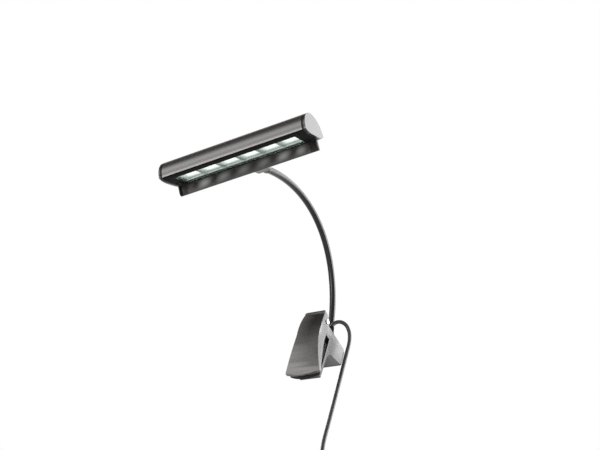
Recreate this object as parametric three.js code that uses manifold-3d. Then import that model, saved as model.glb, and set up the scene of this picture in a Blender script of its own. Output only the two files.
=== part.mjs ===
// A clip-on reading lamp: a bar-shaped LED head on a gooseneck, which stands on a
// spring clip that grips the edge of a music desk, board or shelf.
//
// Millimetres, +Z up. X runs along the edge that the clip grips and Y points back,
// through the board. The origin is the middle of the front pad's gripping face.

import * as THREE from 'three';
import { mergeVertices } from 'three/addons/utils/BufferGeometryUtils.js';
import Module from 'manifold-3d';

const wasm = await Module();
wasm.setup();

// ---------------------------------------------------------------- driving dimensions

const GAP = 0.3;                 // clearance between neighbouring pieces
const DEG = Math.PI / 180;

// Lamp head, in its own frame: x along the bar, y to the rear, z up through the dome.
const HEAD_PLACE = [13.5, -188.5, 55.5];
const HEAD_TURN = [42 * DEG, -9.4 * DEG, 1 * DEG];
const HEAD_HALF = 67.5;          // half the length over the end caps
const CAP = 3;                   // thickness of an end cap's face
const CAP_PLUG = { reach: 4, root: 0.5, half: 15, low: 8, high: 20 };
const DOME_HALF_WIDTH = 20;
const DOME_HEIGHT = 17;
const DOME_WALL = 1.3;
const BELLY = 2.6;               // how far the underside bulges below the dome's rim

// Light window and what is behind it. Each cell narrows from its mouth up to its floor.
const CELLS = 6;
const CELL_PITCH = 18.5;
const CELL = { mouthX: 16.4, mouthY: 24, floorX: 11.5, floorY: 15 };
const WINDOW = { half: 55.5, front: -16, rear: 8.6 };
const LENS = { half: 56.8, front: -17, rear: 9.6, bottom: -1.7, top: -0.7 };
const WINDOW_FRAME = { front: -18.1, half: 58.4 };   // the lip round the window, level with the belly
const REFLECTOR = { half: 56.6, front: -16.8, rear: 9.4, bottom: -0.4, top: 4.2, floor: 3.2 };
const TRAY_TOP = 2;
const TRAY_HALF_WIDTH = 18.3;
const LED = { y: -3.7, half: 2.5, bottom: 2.7 };
const BOARD = { half: 56, front: -14.5, rear: 7.5, bottom: REFLECTOR.top + GAP, thick: 1.2 };
const SWITCH = { x: -60.6, y: 3, half: 3, reach: 5.5, height: 4.5 };
const SWITCH_SLOT = { half: 1.6, reach: 4 };
const KNOB = { half: 1.2, reach: 1.7, bottom: -3.4, top: 1.9 };

// Glare baffle below the rear of the window, and the boss that takes the neck.
const BAFFLE = { half: 65, front: 9, wall: 1.6, bottom: -12, tab: 1.2, tabReach: 2 };
const BAFFLE_FOOT = { half: 59, rear: 17, thick: 1.2 };
const BAFFLE_SCREWS = { places: [-48, -14, 48], y: 14, head: 2.1, headHigh: 1.1, shank: 1, hole: 1.3 };
const BOSS = { x: 10, half: 7, front: 11.2, rear: 20.6, bottom: -11.6, socket: 2.9, corner: 2.4 };

// Gooseneck: a cubic curve from the clip's socket to the head's boss.
const NECK_RADIUS = 3;
const NECK_LINKS = 8;
const NECK_START = [0, 18, 46];
const NECK_PULL_START = [0, 4, 129];
const NECK_PULL_END = [10, -80, 143];
const NECK_END_ON_HEAD = [10, 27, -8];
const STEM = { radius: 2.6, low: -18, upperReach: 6 };
const COLLAR = { radius: 4.3, low: -8, shoulder: -4, neckRadius: 3.6 };
const NUT = { radius: 4.4, low: -16.6, high: -14.1, bore: 2.9 };

// Clip: the pin, the front jaw's curved face and the base block behind the board.
const PIN = { y: -6.5, z: 37, radius: 1.5 };
const JAW = { top: 46.9, bottom: -19.8, topHalf: 10.1, flare: 7.1, bottomBulge: 2.3, corner: 1.3 };
const SHOULDER = { bulge: 1.1, share: 0.45 };   // the sides swell over this upper share of the jaw
const JAW_FACE = { y: -14.7, z: 26, lowRadius: 130, highRadius: 75 };
const JAW_LIP = { height: 2.7, proud: 0.6 };    // a raised lip along the jaw's top edge
const JAW_WALL = 1.8;
const FLANGE = 1.5;
const FLANGE_REAR = -3.3;
const EAR = { radius: 4.4, start: -40 * DEG, sweep: 90 * DEG };
const SEAT = { front: -5.2, bottom: -17 };
const BLOCK = { half: 10.2, front: -1.6, rear: 33, top: 37.4, bottom: 20 };
const THROAT = 26.5;             // height at which the block rests on the board's edge
const REAR_JAW = { front: 5.6, rear: 8.4, bottom: -16 };
const LUG = { half: 8.2, radius: 3.4, coilRoom: 4.2 };
const CAVITY = { half: 5.6, front: 6, bottom: 24.5, top: 33.4 };
const PAD_GRIP = { front: 0, rear: 2.4 };
const PAD_TOP = 20;
const FRONT_PAD = { topHalf: 10.2, bottomHalf: 14.9, bottom: -23 };
const REAR_PAD = { half: 9.4, bottom: -15.2 };
const PAD_CORNER_RISE = 3.6;
const GROOVES = [-15, -11, -7, -3, 3, 7, 11, 15];
const GROOVE = { half: 0.6, deep: 0.8 };
const WIRE_BOARD = { half: 4.6, fromFront: 2, fromRear: 3, lift: 0.6, thick: 1.2 };
const COVER = { thick: 1.8, margin: 0.4, corner: 2, plug: 1.5 };
const COVER_SCREWS = { places: [-7.9, 7.9], z: 29, shank: 0.8, head: 2, headHigh: 1.2 };
const SPRING = { turns: 5, radius: 2.35, half: 3.1, wire: 0.45, legX: 3.4 };
const SPRING_LEG = [[-2.6, 3.6], [-2.4, 5.4], [-2.1, 7.4]];      // y and z from the pin's axis
const BEYOND = 20;               // reach of a cutting block past the solid it cuts

// Lead: a thin two-core lead, hung from the clip and coiled at its lower end.
const CORD_RADIUS = 1.8;
const GLAND = { x: 6.5, y: 9.5, height: 8 };
const CORD_ROUTE = [
  [6.5, 9.5, 45.7], [6.9, 9.5, 48.3], [8.4, 10.1, 51.2], [11.0, 11.5, 53.3], [14.0, 14.0, 54.0],
  [16.5, 17.1, 52.8], [18.1, 19.9, 49.9], [19.1, 22.0, 45.9], [19.6, 23.3, 41.0], [19.9, 23.9, 35.0],
  [20.0, 24.0, 26.0], [20.0, 24.0, 5.0], [20.0, 24.0, -20.0], [20.0, 24.0, -45.0], [20.0, 23.9, -57.0],
  [20.2, 23.4, -68.0], [21.2, 22.4, -80.0], [23.6, 20.9, -90.4],
];
const CORD_END = [39.4, 28.7];  // where the lead's last stretch and its plug hang, in x and y
const COIL = { x: 14, y: 24, z: -118, middle: 20, half: 7.6, flat: 0.9 };
const TIE = { inner: 0.9, outer: 1.8, half: 3.2 };
const TAIL_TOP = -132.8;
const PLUG = { top: -146, grip: 18, barrel: 11, radius: 4.7, barrelRadius: 2.75, bore: 1.2 };

// ---------------------------------------------------------------- shape helpers

function toSolid(geometry) {
  const bare = geometry.clone();
  bare.deleteAttribute('normal');
  bare.deleteAttribute('uv');
  const merged = mergeVertices(bare, 1e-4);
  return new wasm.Manifold(new wasm.Mesh({
    numProp: 3,
    vertProperties: merged.attributes.position.array,
    triVerts: new Uint32Array(merged.index.array),
  }));
}

function toGeometry(solid) {
  const mesh = solid.getMesh();
  const geometry = new THREE.BufferGeometry();
  geometry.setAttribute('position', new THREE.BufferAttribute(mesh.vertProperties, 3));
  geometry.setIndex(new THREE.BufferAttribute(mesh.triVerts, 1));
  return geometry;
}

const X = new THREE.Vector3(1, 0, 0);
const Y = new THREE.Vector3(0, 1, 0);
const Z = new THREE.Vector3(0, 0, 1);

function extrude(shape, depth, curveSegments, axes, offset) {
  const geometry = new THREE.ExtrudeGeometry(shape, { depth, bevelEnabled: false, curveSegments });
  geometry.applyMatrix4(new THREE.Matrix4().makeBasis(...axes));
  geometry.translate(...offset);
  return toSolid(geometry);
}

// An outline in (y, z) made solid from x0 to x1.
function alongX(shape, x0, x1, curveSegments = 8) {
  return extrude(shape, x1 - x0, curveSegments, [Y, Z, X], [x0, 0, 0]);
}

// An outline in (x, z) made solid from y0 to y1.
function alongY(shape, y0, y1, curveSegments = 8) {
  return extrude(shape, y1 - y0, curveSegments, [X, Z, Y.clone().negate()], [0, y1, 0]);
}

// An outline in (x, y) made solid from z0 to z1.
function alongZ(shape, z0, z1, curveSegments = 8) {
  return extrude(shape, z1 - z0, curveSegments, [X, Y, Z], [0, 0, z0]);
}

function outline(points) {
  return new THREE.Shape(points.map(([a, b]) => new THREE.Vector2(a, b)));
}

function box(x0, x1, y0, y1, z0, z1) {
  const geometry = new THREE.BoxGeometry(x1 - x0, y1 - y0, z1 - z0);
  geometry.translate((x0 + x1) / 2, (y0 + y1) / 2, (z0 + z1) / 2);
  return toSolid(geometry);
}

function roundedOutline(a0, a1, b0, b1, radius) {
  const shape = new THREE.Shape();
  shape.absarc(a1 - radius, b0 + radius, radius, -Math.PI / 2, 0, false);
  shape.absarc(a1 - radius, b1 - radius, radius, 0, Math.PI / 2, false);
  shape.absarc(a0 + radius, b1 - radius, radius, Math.PI / 2, Math.PI, false);
  shape.absarc(a0 + radius, b0 + radius, radius, Math.PI, 1.5 * Math.PI, false);
  shape.closePath();
  return shape;
}

// A turned solid about +Z. The profile is [radius, height] pairs, upwards on the outside.
function turned(profile, segments = 20) {
  const points = profile.map(([r, h]) => new THREE.Vector2(r, h));
  const geometry = new THREE.LatheGeometry(points, segments);
  geometry.rotateX(Math.PI / 2);
  return toSolid(geometry);
}

function rod(radius, z0, z1, segments = 20) {
  return turned([[0, z0], [radius, z0], [radius, z1], [0, z1]], segments);
}

// A rod about the X axis through (y, z).
function rodX(radius, x0, x1, y, z, segments = 20) {
  return rod(radius, x0, x1, segments).rotate([0, 90, 0]).translate([0, y, z]);
}

function rodY(radius, y0, y1, x, z, segments = 16) {
  return rod(radius, y0, y1, segments).rotate([-90, 0, 0]).translate([x, 0, z]);
}

function tube(path, radius, sides, steps) {
  const section = [];
  for (let i = 0; i < sides; i += 1) {
    const angle = (2 * Math.PI * i) / sides;
    section.push([radius * Math.cos(angle), radius * Math.sin(angle)]);
  }
  const geometry = new THREE.ExtrudeGeometry(outline(section), {
    steps, bevelEnabled: false, extrudePath: path,
  });
  return toSolid(geometry);
}

function throughPoints(points) {
  return new THREE.CatmullRomCurve3(points.map((p) => new THREE.Vector3(...p)), false, 'centripetal');
}

// ---------------------------------------------------------------- materials and placing

const MATERIALS = {
  satinBlack: { color: 0x2b2a29, roughness: 0.45, metalness: 0.3 },
  capBlack: { color: 0x262524, roughness: 0.4, metalness: 0 },
  moulded: { color: 0x1d1d1d, roughness: 0.6, metalness: 0 },
  steel: { color: 0xa8a8a6, roughness: 0.3, metalness: 1 },
  rubber: { color: 0x121212, roughness: 0.9, metalness: 0 },
  white: { color: 0xf2f5f3, roughness: 0.5, metalness: 0 },
  clear: { color: 0xdfeee6, roughness: 0.1, metalness: 0, transparent: true, opacity: 0.35 },
  board: { color: 0x2f6b45, roughness: 0.6, metalness: 0 },
  chip: { color: 0xf4f0c0, roughness: 0.4, metalness: 0 },
  lead: { color: 0x161616, roughness: 0.55, metalness: 0 },
  brass: { color: 0xc9a35a, roughness: 0.3, metalness: 1 },
};

const lamp = new THREE.Group();
const head = new THREE.Group();
head.position.set(...HEAD_PLACE);
head.rotation.set(...HEAD_TURN, 'ZYX');
lamp.add(head);
lamp.updateMatrixWorld(true);

function add(parent, name, solid, material) {
  const mesh = new THREE.Mesh(toGeometry(solid), new THREE.MeshStandardMaterial(MATERIALS[material]));
  mesh.name = name;
  parent.add(mesh);
  return mesh;
}

function addTurnedTo(parent, name, solid, material, place, direction) {
  const mesh = add(parent, name, solid, material);
  mesh.position.copy(place);
  mesh.quaternion.setFromUnitVectors(Z, direction.clone().normalize());
  return mesh;
}

// ---------------------------------------------------------------- lamp head

function domeOutline(halfWidth, height) {
  const shape = new THREE.Shape();
  shape.absellipse(0, 0, halfWidth, height, 0, Math.PI, false);
  return shape;
}

// The underside's height below the dome's rim: flat in the middle, rising to the edges.
function bellyAt(y) {
  return -BELLY * (1 - (Math.abs(y) / DOME_HALF_WIDTH) ** 4);
}

function bellyPoints(halfWidth, steps) {
  const points = [];
  for (let i = 0; i <= steps; i += 1) {
    const y = halfWidth * (1 - (2 * i) / steps);
    points.push([y, bellyAt(y)]);
  }
  return points;
}

function shadeShell() {
  const half = HEAD_HALF - CAP - GAP;
  const outer = alongX(domeOutline(DOME_HALF_WIDTH, DOME_HEIGHT), -half, half, 28);
  const innerHalf = DOME_HALF_WIDTH - DOME_WALL;
  const inner = alongX(domeOutline(innerHalf, DOME_HEIGHT - DOME_WALL), -half - 1, half + 1, 28);
  const below = box(-half - 1, half + 1, -innerHalf, innerHalf, -1, 0.01);
  return outer.subtract(inner).subtract(below);
}

// A cap closes the whole section, dome and belly, and plugs into the shell above the tray.
function endCap(side) {
  const dome = domeOutline(DOME_HALF_WIDTH, DOME_HEIGHT).getPoints(28).map((p) => [p.x, p.y]);
  const face = outline([...dome, ...bellyPoints(DOME_HALF_WIDTH, 12).reverse().slice(1, -1)]);
  const plate = alongX(face, HEAD_HALF - CAP, HEAD_HALF);
  const plugOutline = domeOutline(DOME_HALF_WIDTH - DOME_WALL - GAP, DOME_HEIGHT - DOME_WALL - GAP);
  const plug = alongX(plugOutline, HEAD_HALF - CAP - CAP_PLUG.reach, HEAD_HALF - CAP + CAP_PLUG.root, 20);
  const keep = box(0, HEAD_HALF, -CAP_PLUG.half, CAP_PLUG.half, CAP_PLUG.low, CAP_PLUG.high);
  const cap = plate.add(plug.intersect(keep));
  return side > 0 ? cap : cap.mirror([1, 0, 0]);
}

function ledTray() {
  const half = HEAD_HALF - CAP - GAP;
  const section = outline([
    [-TRAY_HALF_WIDTH, TRAY_TOP],
    ...bellyPoints(TRAY_HALF_WIDTH, 14).reverse(),
    [TRAY_HALF_WIDTH, TRAY_TOP],
  ]);
  const pocket = box(
    -LENS.half - GAP, LENS.half + GAP,
    LENS.front - GAP, LENS.rear + GAP,
    LENS.bottom - GAP, BEYOND,
  );
  const window = box(-WINDOW.half, WINDOW.half, WINDOW.front, WINDOW.rear, -BEYOND, BEYOND);
  const { half: slotHalf, reach } = SWITCH_SLOT;
  const slot = box(
    SWITCH.x - slotHalf, SWITCH.x + slotHalf,
    SWITCH.y - reach, SWITCH.y + reach,
    -BEYOND, BEYOND,
  );
  const frame = box(-WINDOW_FRAME.half, WINDOW_FRAME.half, WINDOW_FRAME.front, 0, -BELLY, 0);
  return alongX(section, -half, half).add(frame).subtract(pocket).subtract(window).subtract(slot);
}

// A clear plate held from behind, with a raised panel that fills the opening.
function lightWindow() {
  const { half, front, rear } = WINDOW;
  const panel = box(-half + GAP, half - GAP, front + GAP, rear - GAP, -BELLY, LENS.top - GAP);
  return box(-LENS.half, LENS.half, LENS.front, LENS.rear, LENS.bottom, LENS.top).add(panel);
}

function switchBody() {
  const { x, y, half, reach, height } = SWITCH;
  return box(x - half, x + half, y - reach, y + reach, TRAY_TOP + GAP, TRAY_TOP + height);
}

function switchKnob() {
  const { half, reach, bottom, top } = KNOB;
  return box(SWITCH.x - half, SWITCH.x + half, SWITCH.y - reach, SWITCH.y + reach, bottom, top);
}

function cellX(index) {
  return (index - (CELLS - 1) / 2) * CELL_PITCH;
}

// A four-sided pocket that narrows from the window up to the floor of the cell.
function cellPocket(x) {
  const y = (WINDOW.front + WINDOW.rear) / 2;
  const geometry = new THREE.CylinderGeometry(Math.SQRT1_2, Math.SQRT1_2, 1, 4);
  geometry.rotateY(Math.PI / 4);
  geometry.rotateX(Math.PI / 2);
  const position = geometry.attributes.position;
  for (let i = 0; i < position.count; i += 1) {
    const atFloor = position.getZ(i) > 0;
    const scaleX = atFloor ? CELL.floorX : CELL.mouthX;
    const scaleY = atFloor ? CELL.floorY : CELL.mouthY;
    const z = atFloor ? REFLECTOR.floor : REFLECTOR.bottom - 0.5;
    position.setXYZ(i, x + position.getX(i) * scaleX, y + position.getY(i) * scaleY, z);
  }
  return toSolid(geometry);
}

function reflector() {
  const { half, front, rear, bottom, top } = REFLECTOR;
  const reach = LED.half + 0.4;
  let solid = box(-half, half, front, rear, bottom, top);
  for (let i = 0; i < CELLS; i += 1) {
    const x = cellX(i);
    solid = solid.subtract(cellPocket(x));
    solid = solid.subtract(box(x - reach, x + reach, LED.y - reach, LED.y + reach, bottom, BEYOND));
  }
  return solid;
}

function ledBoard() {
  const { half, front, rear, bottom, thick } = BOARD;
  return box(-half, half, front, rear, bottom, bottom + thick);
}

function led(index) {
  const x = cellX(index);
  const { y, half, bottom } = LED;
  return box(x - half, x + half, y - half, y + half, bottom, BOARD.bottom - GAP / 3);
}

function buildHead() {
  add(head, 'shade_shell', shadeShell(), 'satinBlack');
  add(head, 'end_cap_right', endCap(1), 'capBlack');
  add(head, 'end_cap_left', endCap(-1), 'capBlack');
  add(head, 'led_tray', ledTray(), 'moulded');
  add(head, 'light_window', lightWindow(), 'clear');
  add(head, 'reflector', reflector(), 'white');
  add(head, 'led_board', ledBoard(), 'board');
  for (let i = 0; i < CELLS; i += 1) add(head, `led_${i + 1}`, led(i), 'chip');
  add(head, 'switch_body', switchBody(), 'moulded');
  add(head, 'switch_knob', switchKnob(), 'moulded');
}

const BAFFLE_TOP = -BELLY - GAP;
const FOOT_BOTTOM = BAFFLE_TOP - BAFFLE_FOOT.thick;

// An L: the upright plate that stops the glare, its foot under the tray and two end tabs.
function glareBaffle() {
  const { half, front, wall, bottom, tab, tabReach } = BAFFLE;
  const plate = box(-half, half, front, front + wall, bottom, BAFFLE_TOP);
  const foot = box(-BAFFLE_FOOT.half, BAFFLE_FOOT.half, front, BAFFLE_FOOT.rear, FOOT_BOTTOM, BAFFLE_TOP);
  const tabOutline = outline([
    [front + 0.2, BAFFLE_TOP],
    [front + 0.2, bottom],
    [front - tabReach / 2, bottom],
    [front - tabReach, bottom + tabReach],
    [front - tabReach, BAFFLE_TOP],
  ]);
  const right = alongX(tabOutline, half - tab, half);
  const left = alongX(tabOutline, -half, -half + tab);
  let baffle = plate.add(foot).add(right).add(left);
  for (const x of BAFFLE_SCREWS.places) {
    const hole = rod(BAFFLE_SCREWS.hole, -BEYOND, BEYOND, 12).translate([x, BAFFLE_SCREWS.y, 0]);
    baffle = baffle.subtract(hole);
  }
  return baffle;
}

function neckBoss() {
  const { x, half, front, rear, bottom, socket, corner } = BOSS;
  const shape = roundedOutline(x - half, x + half, bottom, FOOT_BOTTOM - GAP, corner);
  const [neckX, , neckZ] = NECK_END_ON_HEAD;
  return alongY(shape, front, rear, 5).subtract(rodY(socket, front + 2, rear + 1, neckX, neckZ));
}

// A screw driven upwards through the baffle's foot, just short of the tray.
function baffleScrew(x) {
  const { y, head: headRadius, headHigh, shank } = BAFFLE_SCREWS;
  const headTop = FOOT_BOTTOM - GAP;
  const round = rod(headRadius, headTop - headHigh, headTop, 12);
  return round.add(rod(shank, headTop - headHigh, BAFFLE_TOP - 0.1, 12)).translate([x, y, 0]);
}

function buildBaffle() {
  add(head, 'glare_baffle', glareBaffle(), 'satinBlack');
  add(head, 'neck_boss', neckBoss(), 'satinBlack');
  BAFFLE_SCREWS.places.forEach((x, i) => {
    add(head, `baffle_screw_${i + 1}`, baffleScrew(x), 'steel');
  });
}

// ---------------------------------------------------------------- gooseneck

const neckEnd = head.localToWorld(new THREE.Vector3(...NECK_END_ON_HEAD));
const neckCurve = new THREE.CubicBezierCurve3(
  new THREE.Vector3(...NECK_START),
  new THREE.Vector3(...NECK_PULL_START),
  new THREE.Vector3(...NECK_PULL_END),
  neckEnd,
);
const neckJoints = neckCurve.getSpacedPoints(NECK_LINKS);
const neckFoot = neckCurve.getTangent(0);

const BALL_STEPS = 4;
const CUP_RADIUS = NECK_RADIUS + GAP;

function ballArc(height) {
  const points = [];
  for (let i = 0; i <= BALL_STEPS; i += 1) {
    const angle = (Math.PI / 2) * (i / BALL_STEPS);
    points.push([NECK_RADIUS * Math.cos(angle), height + NECK_RADIUS * Math.sin(angle)]);
  }
  points[BALL_STEPS][0] = 0;
  return points;
}

// The hollow that sits over the ball below it, from the axis out to the rim.
function cupArc() {
  const rim = Math.asin(NECK_RADIUS / CUP_RADIUS);
  const points = [];
  for (let i = 0; i <= BALL_STEPS; i += 1) {
    const angle = rim * (i / BALL_STEPS);
    points.push([CUP_RADIUS * Math.sin(angle), CUP_RADIUS * Math.cos(angle)]);
  }
  return points;
}

function neckLink(length) {
  return turned([...cupArc(), ...ballArc(length)], 16);
}

function lowerFerrule() {
  const { radius, low, shoulder, neckRadius } = COLLAR;
  const collar = [[0, low - 0.2], [radius, low - 0.2], [radius, shoulder], [neckRadius, -1], ...ballArc(0)];
  return rod(STEM.radius, STEM.low, low, 16).add(turned(collar, 16));
}

function hexNut() {
  const hollow = rod(NUT.bore, NUT.low - 1, NUT.high + 1, 16);
  return rod(NUT.radius, NUT.low, NUT.high, 6).subtract(hollow);
}

// The upper ferrule's axis is +Z here; it is laid along the head's -y when placed.
function upperFerrule() {
  const collarEnd = NECK_END_ON_HEAD[1] - BOSS.rear - GAP;
  const stemEnd = collarEnd + STEM.upperReach;
  const rim = Math.sqrt(CUP_RADIUS ** 2 - NECK_RADIUS ** 2);
  const outer = [
    [COLLAR.neckRadius, rim + 0.6],
    [COLLAR.neckRadius, collarEnd],
    [STEM.radius, collarEnd],
    [STEM.radius, stemEnd],
    [0, stemEnd],
  ];
  return turned([...cupArc(), ...outer], 16);
}

function buildNeck() {
  const foot = new THREE.Vector3(...NECK_START);
  addTurnedTo(lamp, 'neck_ferrule_lower', lowerFerrule(), 'steel', foot, neckFoot);
  addTurnedTo(lamp, 'neck_nut', hexNut(), 'steel', foot, neckFoot);
  for (let i = 0; i < NECK_LINKS; i += 1) {
    const from = neckJoints[i];
    const along = neckJoints[i + 1].clone().sub(from);
    addTurnedTo(lamp, `neck_link_${i + 1}`, neckLink(along.length()), 'steel', from, along);
  }
  const endPlace = new THREE.Vector3(...NECK_END_ON_HEAD);
  addTurnedTo(head, 'neck_ferrule_upper', upperFerrule(), 'steel', endPlace, Y.clone().negate());
}

// ---------------------------------------------------------------- clip

// The face's outline from the side: two arcs that meet at its foremost point.
function jawFaceY(z) {
  const radius = z > JAW_FACE.z ? JAW_FACE.highRadius : JAW_FACE.lowRadius;
  return JAW_FACE.y + radius - Math.sqrt(radius ** 2 - (z - JAW_FACE.z) ** 2);
}

function jawHalfWidth(z) {
  const down = (JAW.top - z) / (JAW.top - JAW.bottom);
  const swell = Math.min(Math.max(down / SHOULDER.share, 0), 1);
  return JAW.topHalf + JAW.flare * down ** 2 + SHOULDER.bulge * 4 * swell * (1 - swell);
}

// The jaw seen from the front, drawn in by a margin all round.
function jawOutline(margin) {
  const steps = 14;
  const z0 = JAW.bottom + margin;
  const z1 = JAW.top - margin;
  const z2 = z1 - JAW.corner;
  const topHalf = JAW.topHalf - margin;
  const shape = new THREE.Shape();
  shape.moveTo(-jawHalfWidth(z0) + margin, z0);
  shape.quadraticCurveTo(0, z0 - 2 * JAW.bottomBulge, jawHalfWidth(z0) - margin, z0);
  for (let i = 1; i <= steps; i += 1) {
    const z = z0 + ((z2 - z0) * i) / steps;
    shape.lineTo(jawHalfWidth(z) - margin, z);
  }
  shape.quadraticCurveTo(topHalf, z1, topHalf - JAW.corner, z1);
  shape.lineTo(-topHalf + JAW.corner, z1);
  shape.quadraticCurveTo(-topHalf, z1, -jawHalfWidth(z2) + margin, z2);
  for (let i = steps - 1; i >= 1; i -= 1) {
    const z = z0 + ((z2 - z0) * i) / steps;
    shape.lineTo(-jawHalfWidth(z) + margin, z);
  }
  shape.closePath();
  return shape;
}

function jawFacePoints(inset, zFrom, zTo, steps) {
  const points = [];
  for (let i = 0; i <= steps; i += 1) {
    const z = zFrom + ((zTo - zFrom) * i) / steps;
    points.push([jawFaceY(z) + inset, z]);
  }
  return points;
}

function earPoints() {
  const steps = 6;
  const points = [];
  for (let i = 0; i <= steps; i += 1) {
    const angle = EAR.start + (EAR.sweep * i) / steps;
    points.push([PIN.y + EAR.radius * Math.cos(angle), PIN.z + EAR.radius * Math.sin(angle)]);
  }
  return points;
}

function pinBore() {
  return rodX(PIN.radius + GAP, -BEYOND, BEYOND, PIN.y, PIN.z);
}

// A curved channel open to the rear, with a ledge across it that the pad sits on.
function frontJaw() {
  const low = JAW.bottom - 4;
  const high = JAW.top + 0.5;
  const lipFoot = JAW.top - JAW_LIP.height;
  const side = outline([
    ...jawFacePoints(-JAW_LIP.proud, high, lipFoot, 3),
    ...jawFacePoints(0, lipFoot, low, 20),
    [FLANGE_REAR, low],
    [FLANGE_REAR, PIN.z - EAR.radius],
    ...earPoints(),
    [PIN.y + 0.3, high],
  ]);
  const inner = outline([
    ...jawFacePoints(JAW_WALL, high + 1, low - 1, 20),
    [BEYOND, low - 1],
    [BEYOND, high + 1],
  ]);
  const front = alongY(jawOutline(0), -BEYOND, BEYOND, 6);
  const frontInside = alongY(jawOutline(FLANGE), -BEYOND, BEYOND, 6);
  const block = alongX(side, -BEYOND, BEYOND).intersect(front);
  const hollow = alongX(inner, -BEYOND, BEYOND).intersect(frontInside);
  const seatRoom = box(-BEYOND, BEYOND, SEAT.front, FLANGE_REAR, SEAT.bottom, PAD_TOP);
  const seat = alongY(jawOutline(FLANGE / 2), SEAT.front, FLANGE_REAR, 10).intersect(seatRoom);
  return block.subtract(hollow).add(seat).subtract(pinBore());
}

// A pad's outline: straight sides, and a round lower edge that rises towards its corners.
function padOutline(topHalf, bottomHalf, z0, z1) {
  const shape = new THREE.Shape();
  shape.moveTo(-bottomHalf, z0 + PAD_CORNER_RISE);
  shape.quadraticCurveTo(0, z0 - PAD_CORNER_RISE, bottomHalf, z0 + PAD_CORNER_RISE);
  shape.lineTo(topHalf, z1);
  shape.lineTo(-topHalf, z1);
  shape.closePath();
  return shape;
}

// A rubber pad with shallow cross grooves cut into its gripping face.
function gripPad(shape, y0, y1, gripY, heights) {
  let pad = alongY(shape, y0, y1, 8);
  for (const z of heights) {
    const y = [gripY - GROOVE.deep, gripY + GROOVE.deep];
    pad = pad.subtract(box(-BEYOND, BEYOND, ...y, z - GROOVE.half, z + GROOVE.half));
  }
  return pad;
}

function frontPad() {
  const { topHalf, bottomHalf, bottom } = FRONT_PAD;
  const shape = padOutline(topHalf, bottomHalf, bottom, PAD_TOP);
  return gripPad(shape, FLANGE_REAR + GAP, PAD_GRIP.front, PAD_GRIP.front, GROOVES);
}

function rearPad() {
  const { half, bottom } = REAR_PAD;
  const shape = padOutline(half, half, bottom, PAD_TOP);
  return gripPad(shape, PAD_GRIP.rear, REAR_JAW.front - GAP, PAD_GRIP.rear, GROOVES.slice(1));
}

// A bore along the neck's foot, from one distance to another below the neck's start.
function neckBore(radius, low, high) {
  const bore = new THREE.CylinderGeometry(radius, radius, high - low, 16);
  bore.rotateX(Math.PI / 2);
  bore.translate(0, 0, (low + high) / 2);
  bore.applyQuaternion(new THREE.Quaternion().setFromUnitVectors(Z, neckFoot));
  bore.translate(...NECK_START);
  return toSolid(bore);
}

function pinLugs() {
  const { half, radius, coilRoom } = LUG;
  const web = box(-half, half, PIN.y, BLOCK.front + 1, PIN.z - radius, BLOCK.top - 0.6);
  const between = box(
    -coilRoom, coilRoom,
    PIN.y - radius - 1, BLOCK.front - 0.4,
    PIN.z - radius - 1, PIN.z + radius + 1,
  );
  return rodX(radius, -half, half, PIN.y, PIN.z).add(web).subtract(between);
}

// The block on the board's rear side, one piece with the rear jaw and the pin's two lugs.
function baseBlock() {
  const { half, front, rear, top, bottom } = BLOCK;
  const profile = outline([
    [front + 0.4, THROAT + 2],
    [front + 1.4, THROAT],
    [REAR_JAW.front, THROAT],
    [REAR_JAW.front, REAR_JAW.bottom + 1],
    [REAR_JAW.front + 1, REAR_JAW.bottom],
    [REAR_JAW.rear, REAR_JAW.bottom],
    [REAR_JAW.rear + 0.4, 6],
    [REAR_JAW.rear + 4, bottom - 5],
    [rear, bottom],
    [rear, top - 1],
    [rear - 1, top],
    [front + 0.6, top],
    [front, top - 1],
  ]);
  const cavity = box(-CAVITY.half, CAVITY.half, CAVITY.front, rear + 1, CAVITY.bottom, CAVITY.top);
  const glandHole = rod(2.4, CAVITY.bottom, top + 1, 16).translate([GLAND.x, GLAND.y, 0]);
  let block = alongX(profile, -half, half).add(pinLugs());
  block = block.subtract(pinBore()).subtract(cavity).subtract(glandHole);
  block = block.subtract(neckBore(STEM.radius + GAP, STEM.low - 2, COLLAR.low + 2));
  block = block.subtract(neckBore(COLLAR.radius + GAP, COLLAR.low - 0.5, 0));
  for (const x of COVER_SCREWS.places) {
    const hole = rodY(COVER_SCREWS.shank + GAP, rear - 8, rear + 1, x, COVER_SCREWS.z, 10);
    block = block.subtract(hole);
  }
  return block;
}

function rearCover() {
  const { half, rear, top, bottom } = BLOCK;
  const { thick, margin, corner, plug } = COVER;
  const face = roundedOutline(-half, half, bottom + margin, top - margin, corner);
  const plugSides = [-CAVITY.half + margin, CAVITY.half - margin];
  const plugHeights = [CAVITY.bottom + margin, CAVITY.top - margin];
  let cover = alongY(face, rear + GAP, rear + GAP + thick, 4);
  cover = cover.add(box(...plugSides, rear - plug, rear + 1, ...plugHeights));
  for (const x of COVER_SCREWS.places) {
    const hole = rodY(COVER_SCREWS.shank + GAP, rear - 3, rear + 4, x, COVER_SCREWS.z, 10);
    cover = cover.subtract(hole);
  }
  return cover;
}

function coverScrew(x) {
  const { z, shank, head: headRadius, headHigh } = COVER_SCREWS;
  const headStart = BLOCK.rear + GAP + COVER.thick + GAP;
  const round = rodY(headRadius, headStart, headStart + headHigh, x, z, 12);
  return rodY(shank, BLOCK.rear - 6, headStart + 0.5, x, z, 8).add(round);
}

function hingePin() {
  const rivet = { radius: 2.3, high: 0.9 };
  const reach = jawHalfWidth(PIN.z) + GAP;
  const shank = rodX(PIN.radius, -reach - 0.5, reach + 0.5, PIN.y, PIN.z, 16);
  const rivetRight = rodX(rivet.radius, reach, reach + rivet.high, PIN.y, PIN.z, 16);
  const rivetLeft = rodX(rivet.radius, -reach - rivet.high, -reach, PIN.y, PIN.z, 16);
  return shank.add(rivetRight).add(rivetLeft);
}

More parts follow.
